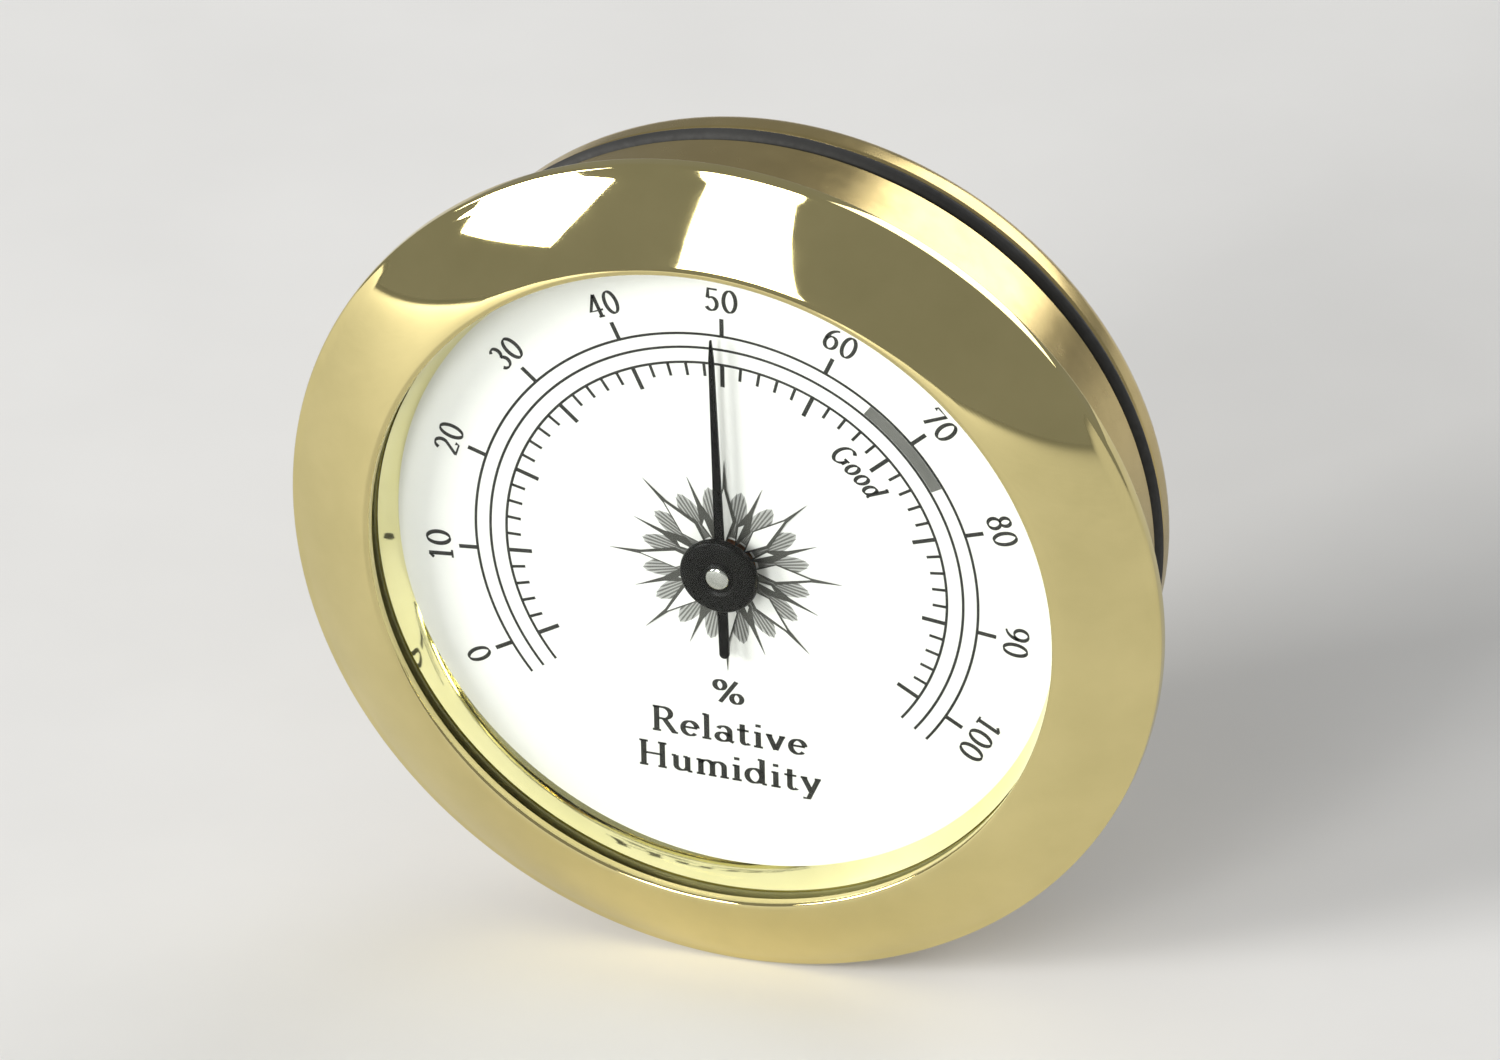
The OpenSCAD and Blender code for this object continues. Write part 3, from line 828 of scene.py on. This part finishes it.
def grip():
    """Rubber ring with a faint moulding seam round its outside."""
    section = (grip_high - grip_low) / 2
    middle = (grip_high + grip_low) / 2
    outline = []
    for k in range(36):
        a = math.radians(10 * k)
        seam = 0.03 if k == 0 else 0.0
        outline.append((grip_r - section - 0.03 + (section + seam) * math.cos(a),
                        middle + section * math.sin(a)))
    obj = lathe("grip_band", outline, 192, 60)
    return place(obj, grip_rubber, "instrument", "grip_rubber", "grip_ring")


def slotted_head(bm, centre, r, low, high, slot_w, slot_depth, slot_angle):
    """A round screw head that faces backwards, with a straight slot and soft edges."""
    rest = low + slot_depth
    add_plate(bm, [circle(*centre, r, 64)], rest - 0.05, high, 0.03)
    half_angle = math.degrees(math.asin(slot_w / 2 / r))
    for side in (0, 180):
        lobe = arc(0, 0, r, side + half_angle, side + 180 - half_angle, 32)
        lobe = [(x + centre[0], y + centre[1]) for x, y in turned(lobe, slot_angle)]
        add_plate(bm, [lobe], low, rest, 0.07)


def case_screws():
    """Three slotted screws in the back. Their shanks stay inside the standoffs."""
    shank_r, shank_len = 0.8, 2.8
    bm = bmesh.new()
    for angle, slot in ((0, 20), (120, 75), (240, 140)):
        centre = turned([(0, screw_at)], angle)[0]
        slotted_head(bm, centre, screw_head_r, screw_back, case_back, 0.5, 0.35, slot)
        shank = [(0, case_back - 0.05), (shank_r, case_back - 0.05),
                 (shank_r, case_back + shank_len - 0.2),
                 (shank_r - 0.15, case_back + shank_len), (0, case_back + shank_len)]
        add_lathe(bm, shank, 32, centre)
    obj = finish_mesh(bm, "back_screws", 45, even=True)
    return place(obj, screw_metal, "instrument", "screw_steel", "case_screws")


def calibrator():
    """Slotted adjuster head and its shank, turned from behind."""
    bm = bmesh.new()
    head_front = washer_back - 0.02
    slotted_head(bm, (0, 0), head_r, head_back, head_front, 0.8, 0.9, 90)
    shank_front = low_high("calibrator_hub")[1]
    shank_r, bore_r = 1.6, 0.85
    shank = [(bore_r, head_front - 0.05), (shank_r, head_front - 0.05), (shank_r, shank_front),
             (bore_r, shank_front)]
    add_lathe(bm, shank, 64)
    obj = finish_mesh(bm, "adjuster", 45, even=True)
    return place(obj, turned_brass, "calibration", "movement_brass", "calibrator_hub")


# ---------------------------------------------------------------- movement

def coil():
    """Sensing strip wound in an even spiral, with a crowned section."""
    inner_r = collet_r + strip_t / 2 + 0.03
    outer_r = 10.9
    steps = coil_turns * 60
    middle = (coil_back + coil_front) / 2
    half_w = (coil_front - coil_back) / 2
    crown = 0.035
    bm = bmesh.new()
    rows = []
    for i in range(steps + 1):
        u = i / steps
        r = inner_r + (outer_r - inner_r) * u
        angle = 90 - (coil_angle - 360 * coil_turns * (1 - u))
        row = []
        for side, lift in ((1, -1), (1, 0), (1, 1), (-1, 1), (-1, 0), (-1, -1)):
            bow = 0.0 if lift else crown
            x, y = turned([(0, r + side * strip_t / 2 + bow)], angle)[0]
            row.append(bm.verts.new((x, y, middle + lift * half_w)))
        rows.append(row)
    for a, b in zip(rows, rows[1:]):
        for k in range(6):
            n = (k + 1) % 6
            bm.faces.new((a[k], a[n], b[n], b[k]))
    bm.faces.new(rows[0])
    bm.faces.new(rows[-1][::-1])
    obj = finish_mesh(bm, "coil_strip", 50)
    return place(obj, film, "calibration", "coil_strip", "hygro_coil")


def movement():
    """The other movement parts keep their CAD shape and get a turned or brushed finish."""
    finishes = {
        "dial_feet": turned_brass, "standoffs": turned_brass, "movement_plate": turned_brass,
        "front_bush": bronze, "bracket": sheet_steel, "bracket_screws": screw_metal,
        "friction_washer": bronze, "rear_bush": bronze, "regulator_arm": sheet_steel,
        "regulator_stud": turned_brass, "arbor": pin_steel, "coil_collet": turned_brass,
        "pointer_boss": turned_brass,
    }
    for name, finish in finishes.items():
        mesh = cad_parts[name].data
        mesh.materials.clear()
        mesh.materials.append(finish)


bezel()
lens()
gasket()
reflector()
dial()
scale()
zone()
numerals()
captions()
star()
needle()
cap()
pin_head()
case()
grip()
case_screws()
calibrator()
coil()
movement()


# ---------------------------------------------------------------- studio

# The view: from the object back to the camera, its roll, its distance in metres, and how much
# of the picture's width the bezel takes
VIEW_SIDE, VIEW_RISE = math.radians(20.66), math.radians(30.81)
VIEW_BACK = Vector((math.sin(VIEW_SIDE) * math.cos(VIEW_RISE),
                    -math.cos(VIEW_SIDE) * math.cos(VIEW_RISE), math.sin(VIEW_RISE)))
VIEW_ROLL = math.radians(-2.56)
VIEW_DISTANCE = 0.9446
BEZEL_SHARE = 920 / 1500
EVEN_LIGHT = 0.32      # even light from all round
BACKDROP_LIGHT = 0.95  # backdrop, as the camera sees it
FLOOR_HALF = 3.0       # the floor reaches this far each way, in metres


def floor():
    """A plain pale sweep under the bezel's lowest point."""
    bm = bmesh.new()
    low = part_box("bezel")[0].z - 0.0001
    corners = [(-FLOOR_HALF, -FLOOR_HALF), (FLOOR_HALF, -FLOOR_HALF),
               (FLOOR_HALF, FLOOR_HALF), (-FLOOR_HALF, FLOOR_HALF)]
    bm.faces.new([bm.verts.new((x, y, low)) for x, y in corners])
    mesh = bpy.data.meshes.new("studio_floor")
    bm.to_mesh(mesh)
    bm.free()
    obj = bpy.data.objects.new("studio_floor", mesh)
    bpy.context.collection.objects.link(obj)
    f = Finish("floor_paper")
    grain = f.noise(60, 3)
    f.join(f.ramp(grain, (0.3, (0.78, 0.775, 0.76)), (0.7, (0.81, 0.805, 0.79))),
           f.shader.inputs["Base Color"])
    f.set(Roughness=0.75)
    mesh.materials.append(f.material)


def room():
    """Plain even light from all round, and a paler plain backdrop behind the object."""
    world = bpy.data.worlds.new("studio")
    bpy.context.scene.world = world
    world.use_nodes = True
    tree = world.node_tree
    tree.nodes.clear()
    mix = tree.nodes.new("ShaderNodeMixShader")
    is_camera = tree.nodes.new("ShaderNodeLightPath").outputs["Is Camera Ray"]
    tree.links.new(is_camera, mix.inputs[0])
    for socket, tint, strength in ((mix.inputs[1], (0.96, 0.98, 1.0, 1), EVEN_LIGHT),
                                   (mix.inputs[2], (0.90, 0.90, 0.89, 1), BACKDROP_LIGHT)):
        shade = tree.nodes.new("ShaderNodeBackground")
        shade.inputs["Color"].default_value = tint
        shade.inputs["Strength"].default_value = strength
        tree.links.new(shade.outputs[0], socket)
    out = tree.nodes.new("ShaderNodeOutputWorld")
    tree.links.new(mix.outputs[0], out.inputs["Surface"])


def softbox(name, place_at, wide, tall, power, tint):
    """A soft lamp that faces the object. Polished metal mirrors it as it stands."""
    light = bpy.data.lights.new(name, "AREA")
    light.shape = "RECTANGLE"
    light.size = wide
    light.size_y = tall
    light.energy = power
    light.color = tint
    obj = bpy.data.objects.new(name, light)
    obj.location = place_at
    obj.rotation_euler = (-Vector(place_at)).to_track_quat("-Z", "Y").to_euler()
    obj.visible_camera = False
    bpy.context.collection.objects.link(obj)


def camera():
    """Looks at the dial from above and from its right, a long way off."""
    data = bpy.data.cameras.new("camera")
    data.sensor_width = 36.0
    data.lens = BEZEL_SHARE * data.sensor_width * VIEW_DISTANCE / (2 * bezel_r * MM)
    data.clip_start, data.clip_end = 0.05, 20
    obj = bpy.data.objects.new("camera", data)
    bpy.context.collection.objects.link(obj)
    aim = Vector((0.0006, 0.002, 0.001))
    turn = (-VIEW_BACK).to_track_quat("-Z", "Y").to_matrix().to_4x4()
    obj.matrix_world = (Matrix.Translation(aim + VIEW_BACK * VIEW_DISTANCE) @ turn
                        @ Matrix.Rotation(VIEW_ROLL, 4, "Z"))
    bpy.context.scene.camera = obj


floor()
room()
softbox("key", (-1.06, -0.96, 0.56), 0.5, 0.5, 20, (1.0, 0.985, 0.96))
softbox("strip", (-0.25, -1.10, 0.44), 0.30, 0.66, 8, (1.0, 0.99, 0.98))
softbox("behind", (0.5, 1.1, 0.7), 0.8, 0.8, 7, (1.0, 0.99, 0.98))
camera()
bpy.context.scene.view_settings.view_transform = "Standard"
